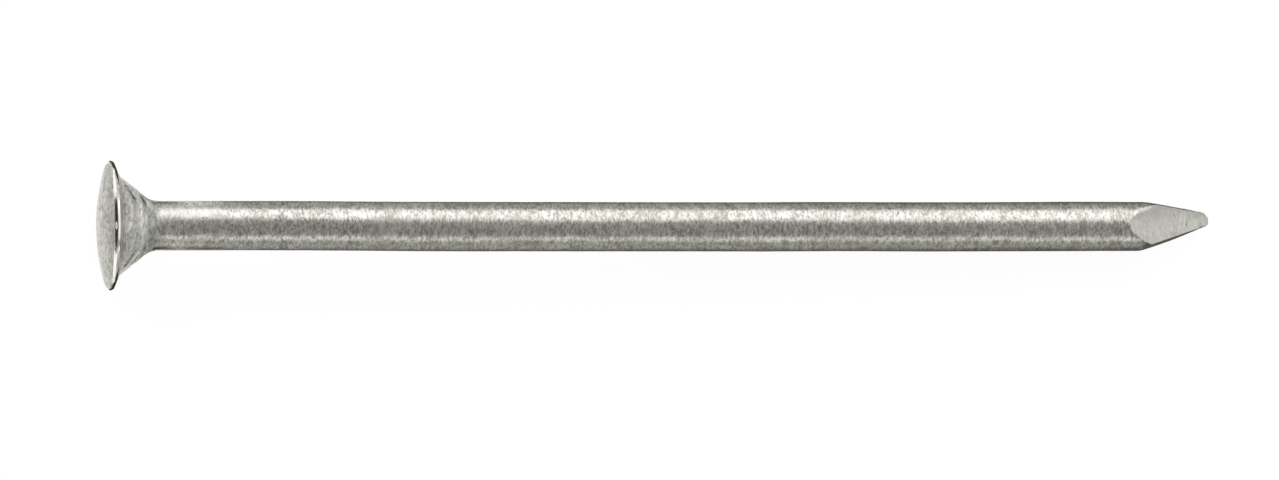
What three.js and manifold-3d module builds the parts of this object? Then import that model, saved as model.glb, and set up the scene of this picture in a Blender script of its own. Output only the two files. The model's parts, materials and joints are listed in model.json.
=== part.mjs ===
// Steel wire nail with a domed, countersunk head and a four-sided diamond point.
//
// It is one length of drawn wire, cold-headed at one end and pinched to a point at the
// other, so it is one solid. Millimetres. The axis lies along X, from the head towards
// the point, and +Z is up. The origin is the centre of the head's rim, its widest circle.

import * as THREE from 'three';
import { mergeVertices } from 'three/addons/utils/BufferGeometryUtils.js';
import Module from 'manifold-3d';

// Shank: 3.1 mm wire.
const shankRadius = 1.55;
const rimToTip = 69.6;

// Head, from the struck face to the shank.
const domeRadius = 13;
const domeEdge = { radius: 3.88, x: -0.28 };
const rimRadius = 4.1;
const rimBevel = { radius: 4.03, x: 0.06 };
const flangeRoot = { radius: 3.18, x: 0.42 };
const coneEnd = { radius: 1.88, x: 2.06 };
const neckEnd = 3.1;

// Point: each flat cut is turned about the axis from +Y towards +Z, slopes inwards to the
// tip, and passes the tip's end at a distance from the axis. The tip is off the axis,
// because the top and front flats are cut deeper than the bottom and rear ones.
const pointFacets = {
  top: { turn: 90, slope: 22.3, tipDistance: -0.58 },
  rear: { turn: 9, slope: 11.3, tipDistance: 0.72 },
  front: { turn: 176, slope: 20.8, tipDistance: -0.16 },
  bottom: { turn: 275, slope: 10.2, tipDistance: 0.82 },
};
const tipBevels = {
  rear: { turn: 7, slope: 55, tipDistance: 0.45 },
  front: { turn: 176, slope: 50, tipDistance: -0.26 },
};

// How finely the round surfaces are divided.
const segmentsAround = 48;
const domeSteps = 7;
const neckSteps = 6;

// The block that makes each flat cut is larger than the point.
const cutter = { length: 16, depth: 6, width: 12, pastTip: 3 };

const wasm = await Module();
wasm.setup();

// A closed three.js geometry as a solid for cutting.
function solidFrom(geometry) {
  const bare = geometry.clone();
  bare.deleteAttribute('normal');
  bare.deleteAttribute('uv');
  const merged = mergeVertices(bare);
  return new wasm.Manifold(new wasm.Mesh({
    numProp: 3,
    vertProperties: new Float32Array(merged.attributes.position.array),
    triVerts: new Uint32Array(merged.index.array),
  }));
}

function geometryFrom(solid) {
  const mesh = solid.getMesh();
  const geometry = new THREE.BufferGeometry();
  geometry.setAttribute('position', new THREE.BufferAttribute(mesh.vertProperties, 3));
  geometry.setIndex(new THREE.BufferAttribute(mesh.triVerts, 1));
  geometry.computeVertexNormals();
  return geometry;
}

// The struck face: a shallow spherical dome, from its top to its edge.
function domeProfile() {
  const edgeLean = Math.asin(domeEdge.radius / domeRadius);
  const centre = domeEdge.x + domeRadius * Math.cos(edgeLean);
  const points = [];
  for (let i = 0; i <= domeSteps; i += 1) {
    const lean = edgeLean * (i / domeSteps);
    const across = domeRadius * Math.sin(lean);
    const along = centre - domeRadius * Math.cos(lean);
    points.push(new THREE.Vector2(across, along));
  }
  return points;
}

// The concave neck: an even curve that leaves along the cone and ends along the shank.
function neckProfile() {
  const cone = new THREE.Vector2(coneEnd.radius, coneEnd.x);
  const shank = new THREE.Vector2(shankRadius, neckEnd);
  const coneSlope = (flangeRoot.radius - coneEnd.radius) / (coneEnd.x - flangeRoot.x);
  const meetX = coneEnd.x + (coneEnd.radius - shankRadius) / coneSlope;
  const corner = new THREE.Vector2(shankRadius, meetX);
  return new THREE.QuadraticBezierCurve(cone, corner, shank).getPoints(neckSteps);
}

// Radius and distance along the axis, from the dome's top to the tip's end.
function nailProfile() {
  return [
    ...domeProfile(),
    new THREE.Vector2(rimRadius, 0),
    new THREE.Vector2(rimBevel.radius, rimBevel.x),
    new THREE.Vector2(flangeRoot.radius, flangeRoot.x),
    ...neckProfile(),
    new THREE.Vector2(shankRadius, rimToTip),
    new THREE.Vector2(0, rimToTip),
  ];
}

// The block that takes away everything outside one flat of the point.
function flatCutter({ turn, slope, tipDistance }) {
  const block = new THREE.BoxGeometry(cutter.length, cutter.depth, cutter.width);
  block.translate(cutter.pastTip - cutter.length / 2, cutter.depth / 2, 0);
  block.rotateZ(-THREE.MathUtils.degToRad(slope));
  block.translate(rimToTip, tipDistance, 0);
  block.rotateX(THREE.MathUtils.degToRad(turn));
  return solidFrom(block);
}

function nailGeometry() {
  const blank = new THREE.LatheGeometry(nailProfile(), segmentsAround);
  blank.rotateZ(-Math.PI / 2);
  let solid = solidFrom(blank);
  for (const flat of [...Object.values(pointFacets), ...Object.values(tipBevels)]) {
    solid = solid.subtract(flatCutter(flat));
  }
  return geometryFrom(solid);
}

const brightSteel = new THREE.MeshStandardMaterial({
  color: 0xa9a8a2,
  roughness: 0.38,
  metalness: 1,
});

const nail = new THREE.Mesh(nailGeometry(), brightSteel);
nail.name = 'nail';

const part = new THREE.Group();
part.add(nail);

export default part;
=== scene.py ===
"""A bright steel wire nail lying on a pale studio table.

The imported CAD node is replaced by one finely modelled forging: the domed head with its
rim, the marks that the heading dies left on the neck, the drawn shank and the pinched
point. Lengths are in millimetres until a mesh is written, and in metres from there on.
"""

import json
import math

import bpy
import numpy as np
from mathutils import Matrix, Vector, noise


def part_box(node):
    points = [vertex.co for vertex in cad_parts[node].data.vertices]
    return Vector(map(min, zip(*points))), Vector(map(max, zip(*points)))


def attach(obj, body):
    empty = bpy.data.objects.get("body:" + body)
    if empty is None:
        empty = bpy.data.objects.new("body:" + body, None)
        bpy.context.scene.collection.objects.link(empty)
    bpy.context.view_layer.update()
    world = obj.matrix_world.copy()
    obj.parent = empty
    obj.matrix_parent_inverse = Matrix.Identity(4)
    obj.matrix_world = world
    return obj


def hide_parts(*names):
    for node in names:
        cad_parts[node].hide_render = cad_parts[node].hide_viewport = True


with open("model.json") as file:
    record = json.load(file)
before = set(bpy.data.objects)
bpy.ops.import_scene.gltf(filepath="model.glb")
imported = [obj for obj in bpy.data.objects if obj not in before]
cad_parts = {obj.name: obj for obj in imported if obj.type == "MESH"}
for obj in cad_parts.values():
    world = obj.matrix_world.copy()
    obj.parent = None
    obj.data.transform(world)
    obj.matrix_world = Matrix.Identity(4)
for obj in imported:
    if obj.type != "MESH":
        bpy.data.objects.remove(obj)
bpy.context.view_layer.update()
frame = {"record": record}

MM = 0.001

# ---- Sizes taken from the frame ----
node_low, node_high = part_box("nail")
DOME_TOP_X = node_low.x / MM
RIM_RADIUS = node_high.z / MM
TIP_X = node_high.x / MM
mounts = {mount["name"]: mount for mount in frame["record"]["mounts"]}
SHANK_RADIUS = mounts["driven_shank"]["dims"]["r_mm"]

# ---- Head ----
# As in the CAD: places along the axis, and radii. The slant is the cone's length for each
# length along the axis.
DOME_RADIUS = 13
DOME_EDGE = (-0.28, 3.88)
RIM_BEVEL = (0.06, 4.03)
FLANGE_ROOT = (0.42, 3.18)
CONE_END = (2.06, 1.88)
NECK_END = 3.1
CONE_SLANT = 1.28

# ---- The rim's crest, which the CAD has as one edge ----
CREST_START = (-0.10, RIM_RADIUS - 0.05)
CREST_END = (-0.08, RIM_RADIUS - 0.01)

# ---- Point ----
# Turn from +Y towards +Z, slope to the axis, and distance from the axis at the tip. The CAD
# has the first six; the last is the narrow flat of a burr on the top flat's edge.
POINT_FLATS = (
    (90, 22.3, -0.58),
    (9, 11.3, 0.72),
    (176, 20.8, -0.16),
    (275, 10.2, 0.82),
    (7, 55.0, 0.45),
    (176, 50.0, -0.26),
    (62, 8.8, 0.808),
)
POINT_START = 63.8

# ---- Mesh fineness ----
HEAD_COLUMNS = 288
SHANK_COLUMNS = HEAD_COLUMNS // 2
SEAM = math.radians(270)
DOME_STEP = 0.1
CONE_STEP = 0.04
SHANK_STEP = 0.35
POINT_STEP = 0.04
NECK_RINGS = 25
LAST_RING_TO_TIP = 0.02
OUTLINE_SAMPLES = 1441

# ---- Camera ----
# It looks down on the nail, a little from the front and from the head's side. The directions
# towards it and upwards in its view are given across the nail, as y and z.
CAMERA_RISE = math.radians(86)
CAMERA_TURN = math.radians(7.3)
VIEW_WIDTH = 80.42
VIEW_MIDDLE_X = 33.47
VIEW_LOWERED = 0.861
TOWARDS = np.array((-math.cos(CAMERA_RISE), math.sin(CAMERA_RISE)))
UPWARDS = np.array((math.sin(CAMERA_RISE), math.cos(CAMERA_RISE)))

# ---- The tip's middle, which lies off the axis: to the back, and down ----
TIP_MIDDLE = 0.26 * UPWARDS - 0.71 * TOWARDS

# ---- Marks ----
# Start and end (along the axis, degrees round it), half width, height, and how bright or,
# below 0, how much darker: the brightness is a painted highlight, except on the scratches,
# and the darkening is painted shade. The heading dies leave each neck mark four times.
NECK_MARKS = (
    # creases from the flange down the cone, with painted shade in them
    ((0.55, 63), (1.40, 38), 0.20, -0.025, -0.60),
    ((1.05, 66), (2.00, 50), 0.12, -0.020, -0.50),
    ((1.50, 78), (2.10, 60), 0.16, -0.025, -0.60),
    ((0.62, 60), (0.72, 55), 0.16, -0.010, -0.70),
    ((1.15, 45), (1.35, 39), 0.14, -0.010, -0.65),
    # painted shade in the hollow where the flange meets the cone
    ((0.32, 55), (0.32, 0), 0.16, -0.010, -0.25),
    ((0.52, 40), (0.50, 0), 0.05, -0.010, -0.45),
    # painted shade on the sides of the neck and of the shank's start
    ((2.00, 64), (4.40, 70), 0.34, 0.000, -0.85),
    ((1.86, 72), (1.97, 34), 0.22, -0.015, -0.60),
    # raised ridges that the dies left, with painted highlights along them
    ((0.75, 71), (1.70, 56), 0.10, 0.040, 0.70),
    ((1.69, 48), (1.69, 0), 0.12, 0.040, 0.80),
    ((1.40, 42), (1.45, 12), 0.06, 0.015, 0.40),
    ((0.80, 36), (1.15, 22), 0.14, 0.020, 0.45),
    ((0.75, 4), (1.00, 0), 0.20, 0.020, 0.70),
)
SINGLE_MARKS = (
    # nick in the rim with a painted glint, and a painted highlight where the neck meets the shank
    ((-0.19, 0.2), (-0.10, 0.2), 0.18, 0.060, 2.2),
    ((2.28, 60), (2.34, 42), 0.15, 0.030, 3.5),
    # painted light on the front of the cone
    ((0.60, -74), (1.75, -40), 0.42, 0.000, 0.79),
    ((0.40, -68), (0.55, -42), 0.30, 0.000, 0.45),
    # painted shade on the front and a painted highlight on the back of the shank's start
    ((3.80, -67), (8.00, -70), 0.34, 0.000, -0.80),
    ((2.90, 34), (7.00, 33), 0.42, 0.000, 0.50),
    # burr on the top flat's edge with a painted highlight, and painted shade behind it
    ((65.10, 38), (65.78, 54), 0.13, 0.012, 0.8),
    ((65.00, 60), (65.45, 64), 0.10, -0.012, -0.80),
    # scratches across the top flat, one darkened with painted shade, and painted shade in a chip
    # at the tip
    ((67.72, 76), (67.86, 82), 0.05, 0.010, 1.5),
    ((67.98, 74), (68.08, 84), 0.05, 0.010, 1.5),
    ((68.12, 82), (68.14, 85), 0.05, -0.010, -0.35),
    ((69.05, -168), (69.25, -168), 0.09, -0.010, -0.90),
)

# ---- Steel ----
# Colours, and the waves of its patterns per millimetre along each axis.
WIRE_DARK, WIRE_LIGHT = (0.34, 0.33, 0.285), (0.90, 0.89, 0.84)
WIRE_DULL = (0.47, 0.46, 0.40)
STRUCK_DARK, STRUCK_LIGHT = (0.42, 0.415, 0.39), (0.86, 0.855, 0.83)
RIM_BRIGHT = (0.88, 0.87, 0.84)
# white of the painted highlights and of the scratches
SCRATCH_AND_HIGHLIGHT_WHITE = (0.90, 0.89, 0.85)
CUT_GREY = (0.46, 0.455, 0.42)
PIT_BROWN = (0.16, 0.15, 0.13)
# near black of the painted shade
PAINTED_SHADE_BLACK = (0.05, 0.048, 0.04)
STREAKS = (7.0, 3.2, 3.2)
SPECKS = (11.0, 8.0, 8.0)
BROAD = (2.4, 1.2, 1.2)
PATCHES = (0.5, 0.45, 0.45)
PITS = (4.5, 3.5, 3.5)
BUMP_HEIGHT = 0.014

# ---- Studio ----
TABLE_REACH_M = 1.5
SHANK_RESTS_X = 65.3
TABLE_GAP = 0.03


def spread(start, end, step):
    """Even values from start to just before end, about one step apart."""
    count = max(1, round(abs(end - start) / step))
    return np.linspace(start, end, count, endpoint=False)


def smooth_step(value, low, high):
    """0 below low, 1 above high, and an even curve between."""
    t = np.clip((value - low) / (high - low), 0, 1)
    return t * t * (3 - 2 * t)


# ---------------------------------------------------------------- shape

def between(start, end, t):
    """The place and radius at t, from 0 at start to 1 at end."""
    return start[0] + (end[0] - start[0]) * t, start[1] + (end[1] - start[1]) * t


def dome_profile():
    """The struck face, from near its middle to just inside its edge."""
    edge_lean = math.asin(DOME_EDGE[1] / DOME_RADIUS)
    centre = DOME_EDGE[0] + DOME_RADIUS * math.cos(edge_lean)
    # The last ring lies just inside the edge, which keeps it sharp.
    leans = np.append(spread(0, edge_lean, DOME_STEP / DOME_RADIUS)[1:], edge_lean - 0.0004)
    return [(centre - DOME_RADIUS * math.cos(a), DOME_RADIUS * math.sin(a)) for a in leans]


def rim_profile():
    """The head's edge: a chamfer up from the dome, a sharp crest, and the bevel behind it."""
    corners = (DOME_EDGE, CREST_START, CREST_END, RIM_BEVEL)
    # The first and last ring of each stretch lie close to its corners, which keeps them sharp.
    held = (0.04, 0.2, 0.4, 0.6, 0.8, 0.96)
    return [between(a, b, t) for a, b in zip(corners[:-1], corners[1:]) for t in held]


def cone_profile():
    """The short flange and the cone under the head."""
    points = []
    for start, end in ((RIM_BEVEL, FLANGE_ROOT), (FLANGE_ROOT, CONE_END)):
        steps = spread(0, 1, CONE_STEP / math.dist(start, end))
        points += [between(start, end, t) for t in steps]
    return points


def neck_profile():
    """The concave neck: an even curve that leaves along the cone and ends along the shank."""
    slope = (FLANGE_ROOT[1] - CONE_END[1]) / (CONE_END[0] - FLANGE_ROOT[0])
    meet = CONE_END[0] + (CONE_END[1] - SHANK_RADIUS) / slope
    points = []
    for t in np.linspace(0, 1, NECK_RINGS, endpoint=False):
        along = (1 - t) ** 2 * CONE_END[0] + 2 * t * (1 - t) * meet + t * t * NECK_END
        across = (1 - t) ** 2 * CONE_END[1] + (1 - (1 - t) ** 2) * SHANK_RADIUS
        points.append((along, across))
    return points


def ring(centre, radii, angles):
    """Points of one ring across the axis, as y and z."""
    y = centre[0] + radii * np.cos(angles)
    z = centre[1] + radii * np.sin(angles)
    return np.stack((y, z), 1)


def round_ring(x, radius, columns):
    """One round ring of points at x."""
    angles = np.arange(columns) / columns * 2 * math.pi + SEAM
    across = ring((0, 0), np.full(columns, radius), angles)
    return np.column_stack((np.full(columns, x), across))


def smooth_min(values, softness):
    """The least of each column's values, rounded where two come close."""
    least = values[0]
    for other in values[1:]:
        near = np.clip(1 - np.abs(least - other) / softness, 0, 1)
        least = np.minimum(least, other) - near * near * softness / 4
    return least


def section_centre(x):
    """A point inside the section at x: on the axis, then drifting to the tip's middle."""
    t = np.clip((x - POINT_START) / (TIP_X - POINT_START), 0, 1)
    return TIP_MIDDLE * t ** 1.5


def section_reach(x, angles, softness=0.05):
    """How far the section at x reaches from its centre in each direction."""
    centre = section_centre(x)
    directions = np.stack((np.cos(angles), np.sin(angles)), 1)
    along = directions @ centre
    round_wall = -along + np.sqrt(along ** 2 + SHANK_RADIUS ** 2 - centre @ centre)
    walls = [round_wall]
    for turn, slope, tip_distance in POINT_FLATS:
        turn = math.radians(turn)
        normal = np.array((math.cos(turn), math.sin(turn)))
        distance = tip_distance + (TIP_X - x) * math.tan(math.radians(slope))
        # A flat that doesn't face this way is put far off.
        facing = np.maximum(directions @ normal, 1e-6)
        walls.append(np.minimum((distance - centre @ normal) / facing, 50))
    return smooth_min(walls, softness)


def point_ring(x, columns):
    """One ring of the point, with its columns drawn together where the section turns sharply."""
    dense = np.linspace(0, 2 * math.pi, OUTLINE_SAMPLES) + SEAM
    outline = ring((0, 0), section_reach(x, dense), dense)
    steps = np.diff(outline, axis=0)
    lengths = np.hypot(steps[:, 0], steps[:, 1])
    heading = np.arctan2(steps[:, 1], steps[:, 0])
    turning = np.diff(heading, append=heading[0])
    turning = np.abs((turning + math.pi) % (2 * math.pi) - math.pi)
    # Six tenths of the columns follow the outline's length, and the rest follow its turning.
    weight = 0.6 * lengths / lengths.sum() + 0.4 * turning / turning.sum()
    progress = np.concatenate(((0,), np.cumsum(weight)))
    angles = np.interp(np.arange(columns) / columns * progress[-1], progress, dense)
    across = ring(section_centre(x), section_reach(x, angles), angles)
    return np.column_stack((np.full(columns, x), across))


def nail_rings():
    """Every ring of the nail, as arrays of points in millimetres, from the head to the tip."""
    head = dome_profile() + rim_profile() + cone_profile() + neck_profile()
    shank = spread(NECK_END, POINT_START, SHANK_STEP)
    last = TIP_X - LAST_RING_TO_TIP
    point = np.append(spread(POINT_START, last, POINT_STEP), last)
    rings = [round_ring(x, radius, HEAD_COLUMNS) for x, radius in head]
    rings += [round_ring(x, SHANK_RADIUS, SHANK_COLUMNS) for x in shank]
    rings += [point_ring(x, SHANK_COLUMNS) for x in point]
    return rings


def ring_faces(rings):
    """Faces that join each ring to the next, with a finer ring halved where the count changes."""
    faces = []
    first = 0
    for this, other in zip(rings[:-1], rings[1:]):
        n, m = len(this), len(other)
        second = first + n
        i = np.arange(m)
        j = (i + 1) % m
        if n == m:
            faces += np.stack((first + i, first + j, second + j, second + i), 1).tolist()
        else:
            a, b, c = first + 2 * i, first + 2 * i + 1, first + 2 * j
            faces += np.stack((a, b, second + i), 1).tolist()
            faces += np.stack((b, second + j, second + i), 1).tolist()
            faces += np.stack((b, c, second + j), 1).tolist()
        first = second
    return faces


def cap_faces(rings, top, tip):
    """Faces that close the dome at the point top, and the nail's end at the point tip."""
    head, last = len(rings[0]), len(rings[-1])
    start = top - last
    faces = [(top, (i + 1) % head, i) for i in range(head)]
    faces += [(tip, start + i, start + (i + 1) % last) for i in range(last)]
    return faces


# ---------------------------------------------------------------- marks of its making, with painted shade and highlights

def noise_at(points, per_mm, shift):
    """Smooth noise from about -1 to 1, with its own waves per millimetre along each axis."""
    places = points * np.array(per_mm) + shift
    return np.array([noise.noise(place) for place in places.tolist()])


def stroke(x, around, radius, start, end, half_width):
    """1 amid a straight stroke on the unrolled surface, fading towards its ends and beside it."""
    middle = (start[0] + end[0]) / 2, math.radians((start[1] + end[1]) / 2)
    slant = CONE_SLANT if FLANGE_ROOT[0] < middle[0] < CONE_END[0] else 1.0
    turn = (around - middle[1] + math.pi) % (2 * math.pi) - math.pi
    along, across = (x - middle[0]) * slant, turn * radius
    outline = np.array((DOME_EDGE, FLANGE_ROOT, CONE_END, (NECK_END, SHANK_RADIUS)))
    stroke_radius = np.interp(middle[0], outline[:, 0], outline[:, 1])
    half_along = (end[0] - start[0]) / 2 * slant
    half_across = math.radians(end[1] - start[1]) / 2 * stroke_radius
    t = (along * half_along + across * half_across) / math.hypot(half_along, half_across) ** 2
    nearest = np.clip(t, -1, 1)
    distance = np.hypot(along - nearest * half_along, across - nearest * half_across)
    taper = 1 - 0.6 * nearest ** 2
    near_side = np.abs(turn) < math.radians(80)
    return np.exp(-(distance / half_width) ** 2) * taper * near_side


def all_marks(x, around, radius):
    """Height, painted shade and brightness of all strokes at each point; the brightness is a
    painted highlight, except on the scratches.
    """
    height, painted_shade, bright = np.zeros(len(x)), np.zeros(len(x)), np.zeros(len(x))
    placed = [(around, mark) for mark in SINGLE_MARKS]
    for half in (0, math.pi):
        placed += [((around - half) * side, mark) for side in (1, -1) for mark in NECK_MARKS]
    for angle, (start, end, width, rise, strength) in placed:
        mark = stroke(x, angle, radius, start, end, width)
        height += mark * rise
        painted_shade = np.maximum(painted_shade, -strength * mark)
        bright = np.maximum(bright, strength * mark)
    return height, painted_shade, bright


def uneven_marks(points, x, around, radius):
    """The strokes, made wavy and blotchy on the cone, and the cone's own unevenness."""
    cone = smooth_step(x, 0.12, 0.4) * (1 - smooth_step(x, 2.2, 3.2))
    coarse = noise_at(points, (2.2, 1.8, 1.8), 3.1)
    blotchy = noise_at(points, (4.5, 3.5, 3.5), 7.7)
    wobble = cone * 0.10 * coarse
    height, painted_shade, bright = all_marks(x + wobble, around + 0.4 * wobble, radius)
    uneven = np.maximum(1 + cone * 1.3 * blotchy, 0.35)
    height = height * uneven + cone * (0.025 * coarse + 0.014 * blotchy)
    return height, painted_shade * uneven, bright * uneven


def waviness(points, x, dome, cut):
    """Height of the waves on the drawn wire, the pinched flats, the ragged tip and the dome."""
    drawn = smooth_step(x, 2.0, 4.0) * (1 - cut)
    ragged = smooth_step(x, TIP_X - 4, TIP_X - 0.2)
    # Where, how high, how many waves per millimetre along each axis, and the noise's shift.
    waves = (
        (drawn, 0.020, (0.16, 0.75, 0.75), 5.5),
        (drawn, 0.006, (0.9, 0.9, 0.9), 9.3),
        (cut, 0.006, (0.7, 0.9, 0.9), 1.3),
        (ragged, 0.022, (3.0, 3.0, 3.0), 2.9),
        (dome, 0.006, (1.6, 1.6, 1.6), 4.7),
    )
    height = np.zeros(len(x))
    for zone, rise, per_mm, shift in waves:
        height += zone * rise * noise_at(points, per_mm, shift)
    return height


def head_zones(x, turned):
    """Where the matte dome, the dull crest and bevel, and the burnished rim are."""
    dome_ends = DOME_EDGE[0] + 0.17 * smooth_step(turned, 30, 80)
    dome = 1 - smooth_step(x - dome_ends, -0.01, 0.001)
    bevel = smooth_step(x, -0.09, -0.07) * smooth_step(turned, 22, 27)
    flange = smooth_step(x, RIM_BEVEL[0] - 0.01, RIM_BEVEL[0] + 0.03)
    rim = (1 - dome) * (1 - bevel) * (1 - flange)
    return dome, bevel, rim


def dark_zones(x, around, aside, dome, cut):
    """Painted shade over wider zones: the rim bevel's far ends, below the front flat of the point,
    the neck's end, the dome's sides and the back of the flats, with aside the distance towards the
    back.
    """
    degrees = np.degrees(around)
    turned = np.abs(degrees)
    # painted shade on the far ends of the rim's bevel
    rim_shade_starts = 0.10 - 0.16 * smooth_step(turned, 38, 54) - 0.08 * smooth_step(turned, 57, 67)
    rim_shade = smooth_step(turned, 38, 44) * smooth_step(x - rim_shade_starts, -0.01, 0.01)
    rim_shade *= 1 - smooth_step(x, 0.12, 0.16)
    # painted shade below the front flat of the point
    below = smooth_step(-degrees, 36, 44) * (1 - smooth_step(-degrees, 95, 120))
    below *= smooth_step(x, 65.0, 65.5) * (1 - cut) * (x > POINT_START)
    # painted shade on the neck's end
    neck_end = smooth_step(x, 1.95, 2.3) * (1 - smooth_step(x, 2.5, 3.2)) * (turned < 70)
    # painted shade on the dome's sides and on the back of the flats
    dome_sides = dome * smooth_step(np.abs(aside), 1.5, 3.2)
    cut_back = cut * smooth_step(aside, 0.1, 1.0)
    zones = (rim_shade, 0.7 * below, 0.38 * neck_end, 0.1 * dome_sides, 0.16 * cut_back)
    return np.maximum.reduce(zones)


def bow(x):
    """How far the wire is off straight, towards the back: it was straightened, but not quite."""
    return 0.036 * (1 - np.tanh((x - 16) / 5)) - 0.028 + 0.02 * smooth_step(x, 50, 66)


def worked_surface(points, normals):
    """The points with the marks of the nail's making, the painted shade and painted highlights,
    and each mark's strength at each point.
    """
    x = points[:, 0]
    aside = points[:, 1:] @ UPWARDS
    around = np.arctan2(aside, points[:, 1:] @ TOWARDS)
    radius = np.hypot(points[:, 1], points[:, 2])
    turned = np.abs(np.degrees(around))

    cut = smooth_step(SHANK_RADIUS - radius, 0.01, 0.04) * (x > POINT_START)
    dome, bevel, rim = head_zones(x, turned)
    height, painted_shade, scratches_and_painted_highlights = uneven_marks(points, x, around, radius)
    height += waviness(points, x, dome, cut)
    painted_shade = np.maximum(painted_shade, dark_zones(x, around, aside, dome, cut))
    neck = np.maximum(bevel, smooth_step(x, 0.12, 0.2)) * (1 - smooth_step(x, 2.0, 2.7))

    moved = points + normals * height[:, None]
    moved[:, 1:] += bow(x)[:, None] * UPWARDS
    moved[:, 0] = np.clip(moved[:, 0], DOME_TOP_X, TIP_X)
    marks = {"painted_shade": painted_shade, "scratches_and_painted_highlights": scratches_and_painted_highlights, "dome": dome, "neck": 0.75 * neck}
    marks.update({"rim": rim, "cut": cut})
    return moved, marks


def build_nail():
    """The nail as one closed mesh."""
    rings = nail_rings()
    points = np.concatenate(rings)
    top, tip = len(points), len(points) + 1
    faces = ring_faces(rings) + cap_faces(rings, top, tip)
    ends = ((DOME_TOP_X, 0, 0), (TIP_X, *section_centre(TIP_X)))
    points = np.concatenate((points, ends))
    mesh = bpy.data.meshes.new("forged_nail")
    mesh.from_pydata(points.tolist(), [], faces)
    normals = np.zeros(len(points) * 3)
    mesh.vertices.foreach_get("normal", normals)
    moved, marks = worked_surface(points, normals.reshape(-1, 3))
    mesh.vertices.foreach_set("co", (moved * MM).ravel())
    for name, strength in marks.items():
        mesh.attributes.new(name, "FLOAT", "POINT").data.foreach_set("value", strength)
    mesh.polygons.foreach_set("use_smooth", np.ones(len(mesh.polygons), bool))
    mesh.update()
    piece = bpy.data.objects.new("forged_nail", mesh)
    bpy.context.scene.collection.objects.link(piece)
    return piece


# ---------------------------------------------------------------- materials

def add(tree, kind, inputs, **settings):
    """A new shader node, with its settings, and with each input linked or set."""
    node = tree.nodes.new("ShaderNode" + kind)
    for name, value in settings.items():
        setattr(node, name, value)
    for name, value in inputs.items():
        if isinstance(value, bpy.types.NodeSocket):
            tree.links.new(value, node.inputs[name])
        else:
            node.inputs[name].default_value = value
    return node


def calculate(tree, operation, a, b):
    return add(tree, "Math", {0: a, 1: b}, operation=operation).outputs[0]


def plus(tree, a, b):
    return calculate(tree, "ADD", a, b)


def minus(tree, a, b):
    return calculate(tree, "SUBTRACT", a, b)


def times(tree, a, b):
    return calculate(tree, "MULTIPLY", a, b)


def greater(tree, a, b):
    return calculate(tree, "MAXIMUM", a, b)


def remap(tree, value, low, high, to_low, to_high):
    """A value carried from one range to another along an even curve."""
    inputs = {"Value": value, "From Min": low, "From Max": high}
    inputs.update({"To Min": to_low, "To Max": to_high})
    return add(tree, "MapRange", inputs, interpolation_type="SMOOTHSTEP").outputs["Result"]


def blend(tree, factor, a, b):
    """A colour between a and b."""
    node = add(tree, "Mix", {"Factor": factor}, data_type="RGBA")
    for index, value in ((6, a), (7, b)):
        if isinstance(value, bpy.types.NodeSocket):
            tree.links.new(value, node.inputs[index])
        else:
            node.inputs[index].default_value = (*value, 1)
    return node.outputs[2]


def grain(tree, place, per_mm, detail):
    """Noise from 0 to 1, with its own waves per millimetre along each axis."""
    scale = [waves / MM for waves in per_mm]
    vector = add(tree, "Mapping", {"Vector": place, "Scale": scale}).outputs[0]
    inputs = {"Vector": vector, "Scale": 1, "Detail": detail}
    return add(tree, "TexNoise", inputs).outputs["Fac"]


def fine_pattern(tree, place, calm):
    """Cross marks and specks, around 0."""
    streaks = times(tree, grain(tree, place, STREAKS, 1), 0.6)
    specks = times(tree, grain(tree, place, SPECKS, 1), 0.4)
    fine = times(tree, plus(tree, streaks, specks), 0.75)
    broad = times(tree, grain(tree, place, BROAD, 1), 0.25)
    return times(tree, minus(tree, plus(tree, fine, broad), 0.5), calm)


def steel_colour(tree, mark, matte, pattern, patches, pitted):
    """Bright wire and duller struck metal, with the rim, painted highlights and scratches, cuts,
    pits and painted shade over them.
    """
    tone = remap(tree, pattern, -0.17, 0.17, 0, 1)
    wire = blend(tree, tone, WIRE_DARK, WIRE_LIGHT)
    wire = blend(tree, remap(tree, patches, 0.35, 0.75, 0, 0.3), wire, WIRE_DULL)
    struck = blend(tree, tone, STRUCK_DARK, STRUCK_LIGHT)
    colour = blend(tree, matte, wire, struck)
    colour = blend(tree, mark["rim"], colour, RIM_BRIGHT)
    # painted highlights, and the scratches' own brightness
    colour = blend(tree, mark["scratches_and_painted_highlights"], colour, SCRATCH_AND_HIGHLIGHT_WHITE)
    colour = blend(tree, times(tree, mark["cut"], 0.3), colour, CUT_GREY)
    colour = blend(tree, pitted, colour, PIT_BROWN)
    # painted shade: the colour darkens towards near black
    return blend(tree, mark["painted_shade"], colour, PAINTED_SHADE_BLACK)


def steel_roughness(tree, mark, matte, patches):
    """Smoothest on the rim, rougher where struck, and roughest under the painted shade."""
    rough = remap(tree, patches, 0.3, 0.7, 0.27, 0.36)
    rough = plus(tree, rough, times(tree, matte, 0.18))
    rough = minus(tree, rough, times(tree, mark["rim"], 0.17))
    return plus(tree, rough, times(tree, mark["painted_shade"], 0.4))


def steel_metallic(tree, mark):
    """1, but less on the neck, under the painted shade, and on the brightest painted highlights
    and scratches.
    """
    non_metal_share = greater(tree, mark["painted_shade"], remap(tree, mark["scratches_and_painted_highlights"], 0.8, 0.95, 0, 0.8))
    non_metal_share = greater(tree, non_metal_share, times(tree, mark["neck"], 0.5))
    return minus(tree, 1, non_metal_share)


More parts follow.
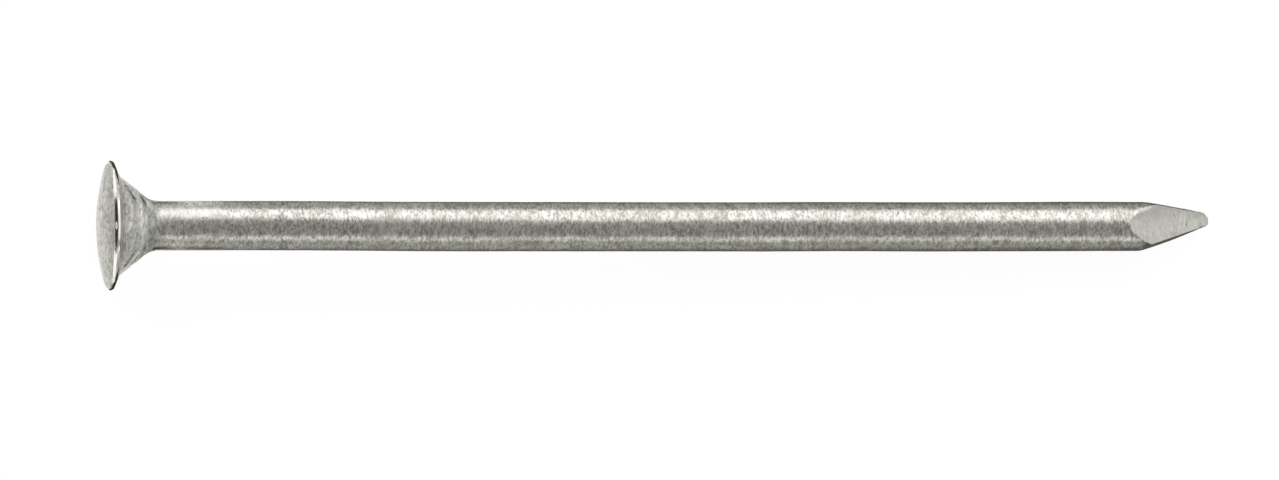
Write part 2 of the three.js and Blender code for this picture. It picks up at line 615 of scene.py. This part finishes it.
def steel():
    """Bright drawn steel: fine cross marks and specks, a matte struck face and a burnished rim."""
    material = bpy.data.materials.new("bright_steel")
    material.use_nodes = True
    tree = material.node_tree
    shader = tree.nodes["Principled BSDF"]
    place = add(tree, "TexCoord", {}).outputs["Object"]
    names = ("painted_shade", "scratches_and_painted_highlights", "dome", "neck", "rim", "cut")
    mark = {name: add(tree, "Attribute", {}, attribute_name=name).outputs["Fac"] for name in names}

    calm = minus(tree, 1, times(tree, mark["cut"], 0.6))
    pattern = fine_pattern(tree, place, calm)
    patches = grain(tree, place, PATCHES, 3)
    pits = remap(tree, grain(tree, place, PITS, 1), 0.68, 0.76, 0, 1)
    pitted = times(tree, times(tree, pits, calm), 0.5)
    matte = greater(tree, mark["dome"], mark["neck"])
    relief = plus(tree, pattern, times(tree, pits, -0.4))
    bump = {"Height": relief, "Strength": 1.0, "Distance": BUMP_HEIGHT * MM}

    surface = {
        "Base Color": steel_colour(tree, mark, matte, pattern, patches, pitted),
        "Roughness": steel_roughness(tree, mark, matte, patches),
        "Metallic": steel_metallic(tree, mark),
        # less specular under the painted shade
        "Specular IOR Level": times(tree, minus(tree, 1, mark["painted_shade"]), 0.5),
        "Normal": add(tree, "Bump", bump).outputs[0],
    }
    for name, value in surface.items():
        tree.links.new(value, shader.inputs[name])
    return material


def camera_sees(tree, others, seen):
    """One shader for what the camera sees, and one for all other rays."""
    path = add(tree, "LightPath", {}).outputs["Is Camera Ray"]
    return add(tree, "MixShader", {0: path, 1: others, 2: seen}).outputs[0]


def table_glow(tree):
    """A painted glow for the nail to mirror: dim beside the nail, where it paints the nail's own
    shadow, and bright before its head.
    """
    place = add(tree, "TexCoord", {}).outputs["Object"]
    split = add(tree, "SeparateXYZ", {0: place})
    x, y = split.outputs["X"], split.outputs["Y"]
    aside = calculate(tree, "ABSOLUTE", y, 0)

    beside = remap(tree, aside, 2.0 * MM, 8 * MM, 0.10, 0.42)
    near_neck = remap(tree, x, 5 * MM, 9 * MM, 0.65, 0)
    off_axis = remap(tree, aside, 1.8 * MM, 4 * MM, 0, 1)
    beside = plus(tree, beside, times(tree, near_neck, off_axis))
    behind = times(tree, beside, remap(tree, x, 0, 1 * MM, 0, 1))

    ahead = remap(tree, x, -8 * MM, -2 * MM, 0.38, 1.25)
    ahead = greater(tree, ahead, remap(tree, aside, 5 * MM, 10 * MM, 0, 1.1))
    before = times(tree, ahead, remap(tree, x, -0.6 * MM, 0.2 * MM, 1, 0))
    return greater(tree, behind, before)


def table_top():
    """A plain white table top for the camera, with a graded glow for the nail to mirror."""
    material = bpy.data.materials.new("table_top")
    material.use_nodes = True
    tree = material.node_tree
    tree.nodes.clear()
    glow = add(tree, "Emission", {"Color": (1, 0.99, 0.95, 1), "Strength": table_glow(tree)})
    pale = add(tree, "BsdfDiffuse", {"Color": (0.15, 0.15, 0.15, 1)})
    white = add(tree, "Emission", {"Strength": 0.93})
    seen = add(tree, "AddShader", {0: pale.outputs[0], 1: white.outputs[0]}).outputs[0]
    add(tree, "OutputMaterial", {"Surface": camera_sees(tree, glow.outputs[0], seen)})
    return material


# ---------------------------------------------------------------- studio

def floor_under():
    """A table top that the head's rim and the end of the shank rest on."""
    mesh = bpy.data.meshes.new("floor")
    sides = ((-1, -1), (1, -1), (1, 1), (-1, 1))
    corners = [(TABLE_REACH_M * x, TABLE_REACH_M * y, 0) for x, y in sides]
    mesh.from_pydata(corners, [], [(0, 1, 2, 3)])
    floor = bpy.data.objects.new("floor", mesh)
    bpy.context.scene.collection.objects.link(floor)
    tilt = math.atan((RIM_RADIUS - SHANK_RADIUS) / SHANK_RESTS_X)
    drop = (RIM_RADIUS / math.cos(tilt) + TABLE_GAP) * MM
    floor.matrix_world = Matrix.Translation((0, 0, -drop)) @ Matrix.Rotation(-tilt, 4, "Y")
    mesh.materials.append(table_top())


def beam(right, back):
    """A direction: turned from the vertical to the right and to the back, in degrees."""
    right, back = math.radians(right), math.radians(back)
    upright = math.cos(right)
    return Vector((math.sin(right), upright * math.sin(back), upright * math.cos(back)))


def softbox(name, radiance, size, direction, distance, facing=30 * MM):
    """A softbox of the given radiance that faces a place on the nail's axis."""
    target = Vector((facing, 0, 0))
    data = bpy.data.lights.new(name, "AREA")
    data.shape = "RECTANGLE"
    data.size, data.size_y = size
    data.energy = radiance * math.pi * size[0] * size[1]
    light = bpy.data.objects.new(name, data)
    light.location = target + direction * distance
    light.rotation_euler = (target - light.location).to_track_quat("-Z", "Y").to_euler()
    light.visible_camera = False
    bpy.context.scene.collection.objects.link(light)


def soft_lights():
    """A large key behind the nail and a narrow fill in front, with small ones for its ends."""
    softbox("key", 1.2, (1.3, 0.45), beam(0, 57), 0.5)
    softbox("fill", 0.68, (1.3, 0.18), beam(0, -64), 0.5)
    softbox("key_inner", 0.8, (0.09, 0.03), beam(5, 26), 0.12, 72 * MM)
    softbox("right", 0.63, (0.5, 0.7), beam(55, 0), 0.6)
    softbox("left_back", 1.2, (0.3, 0.25), beam(-45, 70), 0.5)
    softbox("left_front", 1.2, (0.3, 0.25), beam(-45, -70), 0.5)


def studio_world():
    """A dim room, darker on the head's side, which the camera sees as plain white."""
    world = bpy.data.worlds.new("studio")
    world.use_nodes = True
    tree = world.node_tree
    tree.nodes.clear()
    direction = add(tree, "TexCoord", {}).outputs["Generated"]
    x = add(tree, "SeparateXYZ", {0: direction}).outputs["X"]
    strength = remap(tree, x, -0.3, 0.0, 0.03, 0.31)
    room = add(tree, "Background", {"Color": (1, 1, 1, 1), "Strength": strength})
    white = add(tree, "Background", {"Color": (1, 1, 1, 1)})
    shown = camera_sees(tree, room.outputs[0], white.outputs[0])
    add(tree, "OutputWorld", {"Surface": shown})
    bpy.context.scene.world = world


def set_camera():
    """A long-lens view from above: parallel, and turned a little to the head's side."""
    towards = Vector((0, *TOWARDS))
    upwards = Vector((0, *UPWARDS))
    along = Vector((1, 0, 0))
    out = towards * math.cos(CAMERA_TURN) - along * math.sin(CAMERA_TURN)
    right = along * math.cos(CAMERA_TURN) + towards * math.sin(CAMERA_TURN)
    middle = along * VIEW_MIDDLE_X * MM - upwards * VIEW_LOWERED * MM
    camera = bpy.data.objects.new("camera", bpy.data.cameras.new("camera"))
    bpy.context.scene.collection.objects.link(camera)
    axes = Matrix((right, upwards, out)).transposed().to_4x4()
    camera.matrix_world = Matrix.Translation(middle + out * 0.5) @ axes
    camera.data.type = "ORTHO"
    camera.data.ortho_scale = VIEW_WIDTH * MM
    camera.data.clip_start = 0.05
    bpy.context.scene.camera = camera


def main():
    nail = build_nail()
    nail.data.materials.append(steel())
    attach(nail, "root")
    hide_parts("nail")

    floor_under()
    studio_world()
    soft_lights()
    set_camera()
    bpy.context.scene.view_settings.view_transform = "Standard"


main()
